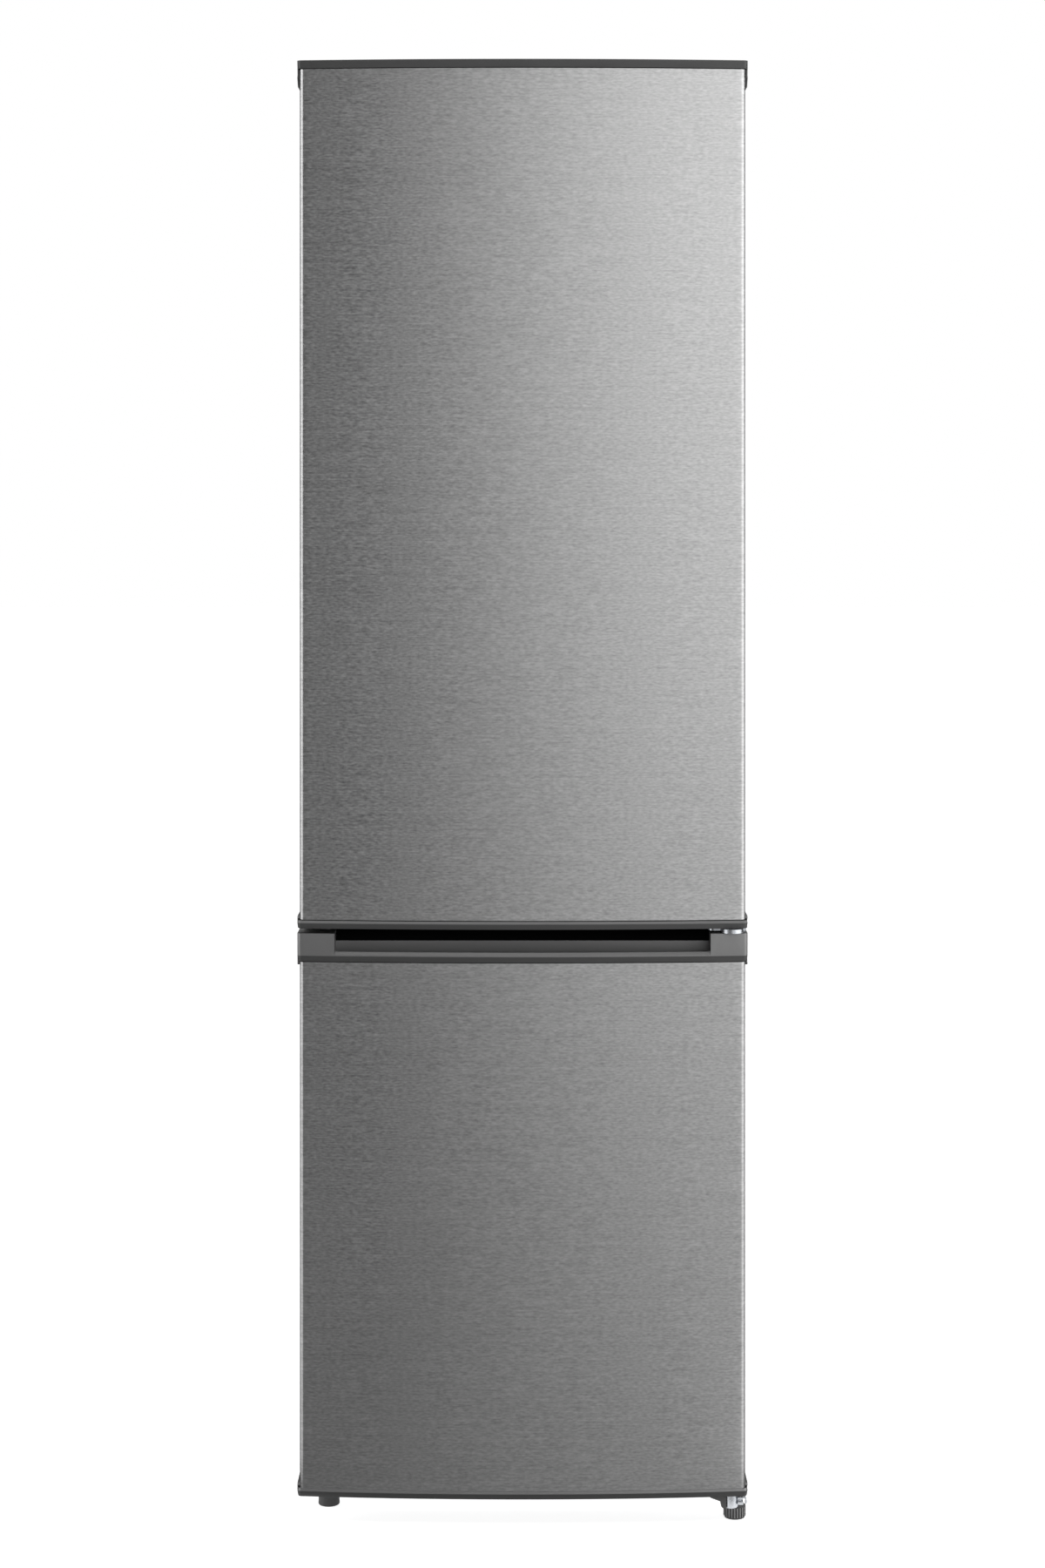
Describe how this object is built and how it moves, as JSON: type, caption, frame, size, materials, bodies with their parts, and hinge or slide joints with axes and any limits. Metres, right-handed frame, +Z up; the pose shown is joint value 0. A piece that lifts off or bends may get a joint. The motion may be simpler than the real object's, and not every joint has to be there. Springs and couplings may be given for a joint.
{
  "type": "bottom freezer refrigerator",
  "caption": "Tall free-standing refrigerator over a freezer, with bowed brushed steel doors, dark end caps and a scooped grip across the freezer door's top.",
  "frame": {"origin": "on the floor under the middle of the whole appliance, doors shut", "axes": "+Z up, +X to the right seen from the front, +Y from the doors to the back"},
  "size_m": [0.554, 0.5509, 1.8],
  "materials": {
    "brushed_panel": "satin",
    "dark_cap": "satin",
    "cabinet_paint": "satin",
    "galvanised": "satin",
    "zinc": "satin",
    "foam": "matte",
    "liner_white": "satin",
    "clear_tray": "gloss",
    "shelf_glass": "polished",
    "gasket_rubber": "matte",
    "foot_plastic": "matte",
    "black_paint": "satin",
    "copper": "satin",
    "aluminium_plate": "satin"
  },
  "bodies": {
    "cabinet": {"cabinet_shell": "cabinet_paint", "mullion_strip": "cabinet_paint", "back_panel": "galvanised", "base_sheet": "galvanised", "insulation_foam": "foam", "fridge_liner": "liner_white", "freezer_liner": "liner_white", "front_base_rail": "galvanised", "top_hinge_bracket": "zinc", "top_hinge_cover": "dark_cap", "middle_hinge_bracket": "zinc", "bottom_hinge_bracket": "zinc", "bottom_hinge_stop": "foot_plastic", "hinge_pins": "zinc", "hinge_screws": "zinc", "glass_shelves": "shelf_glass", "shelf_trims": "liner_white", "control_console": "liner_white", "lamp_lens": "clear_tray", "fridge_evaporator": "aluminium_plate", "freezer_evaporator": "aluminium_plate", "compressor": "black_paint", "compressor_grommets": "gasket_rubber", "compressor_terminal_cover": "foot_plastic", "compressor_rail": "galvanised", "evaporation_tray": "liner_white", "drain_tube": "foot_plastic", "filter_drier": "copper", "refrigerant_tubes": "copper", "condenser": "black_paint", "condenser_spacers": "foot_plastic", "roller_axles": "zinc"},
    "crisper_drawer": {"crisper_drawer": "clear_tray"},
    "freezer_drawer_upper": {"freezer_drawer_upper": "clear_tray"},
    "freezer_drawer_middle": {"freezer_drawer_middle": "clear_tray"},
    "freezer_drawer_lower": {"freezer_drawer_lower": "clear_tray"},
    "thermostat_knob": {"thermostat_knob": "liner_white"},
    "light_switch_plunger": {"light_switch_plunger": "liner_white"},
    "left_roller": {"left_roller": "foot_plastic"},
    "right_roller": {"right_roller": "foot_plastic"},
    "left_foot": {"left_foot_stud": "zinc", "left_foot_pad": "foot_plastic"},
    "right_foot": {"right_foot_stud": "zinc", "right_foot_knob": "foot_plastic"},
    "fridge_door": {"fridge_door_panel": "brushed_panel", "fridge_door_top_cap": "dark_cap", "fridge_door_bottom_cap": "dark_cap", "fridge_door_liner": "liner_white", "fridge_door_foam": "foam", "fridge_door_gasket": "gasket_rubber", "fridge_door_bins": "clear_tray", "fridge_door_bottle_bin": "clear_tray", "fridge_door_bushes": "foot_plastic"},
    "freezer_door": {"freezer_door_panel": "brushed_panel", "freezer_door_handle_cap": "dark_cap", "freezer_door_bottom_cap": "dark_cap", "freezer_door_liner": "liner_white", "freezer_door_foam": "foam", "freezer_door_gasket": "gasket_rubber", "freezer_door_bushes": "foot_plastic"}
  },
  "joints": [
    {"name": "fridge_door_hinge", "type": "hinge", "parent": "cabinet", "child": "fridge_door", "pos_m": [0.258, -0.2405, 1.267], "axis": [0, 0, 1], "range_deg": [0, 105]},
    {"name": "freezer_door_hinge", "type": "hinge", "parent": "cabinet", "child": "freezer_door", "pos_m": [0.258, -0.2405, 0.38235], "axis": [0, 0, 1], "range_deg": [0, 105]},
    {"name": "crisper_slide", "type": "slide", "parent": "cabinet", "child": "crisper_drawer", "axis": [0, -1, 0], "range_m": [0, 0.033]},
    {"name": "freezer_drawer_upper_slide", "type": "slide", "parent": "cabinet", "child": "freezer_drawer_upper", "axis": [0, -1, 0], "range_m": [0, 0.028]},
    {"name": "freezer_drawer_middle_slide", "type": "slide", "parent": "cabinet", "child": "freezer_drawer_middle", "axis": [0, -1, 0], "range_m": [0, 0.028]},
    {"name": "freezer_drawer_lower_slide", "type": "slide", "parent": "cabinet", "child": "freezer_drawer_lower", "axis": [0, -1, 0], "range_m": [0, 0.028]},
    {"name": "thermostat_knob_turn", "type": "hinge", "parent": "cabinet", "child": "thermostat_knob", "pos_m": [-0.062, -0.1105, 1.72], "axis": [0, 0, -1], "range_deg": [0, 300]},
    {"name": "light_switch_press", "type": "slide", "parent": "cabinet", "child": "light_switch_plunger", "axis": [0, 1, 0], "range_m": [0, 0.0015], "stiffness_N_per_m": 250, "springref_m": -0.004},
    {"name": "left_foot_raise", "type": "slide", "parent": "cabinet", "child": "left_foot", "axis": [0, 0, 1], "range_m": [-0.0101, 0.0038]},
    {"name": "right_foot_raise", "type": "slide", "parent": "cabinet", "child": "right_foot", "axis": [0, 0, 1], "range_m": [-0.0051, 0.0015]},
    {"name": "left_roller_spin", "type": "hinge", "parent": "cabinet", "child": "left_roller", "pos_m": [-0.248, 0.205, 0.014], "axis": [1, 0, 0], "continuous": true},
    {"name": "right_roller_spin", "type": "hinge", "parent": "cabinet", "child": "right_roller", "pos_m": [0.248, 0.205, 0.014], "axis": [1, 0, 0], "continuous": true}
  ]
}
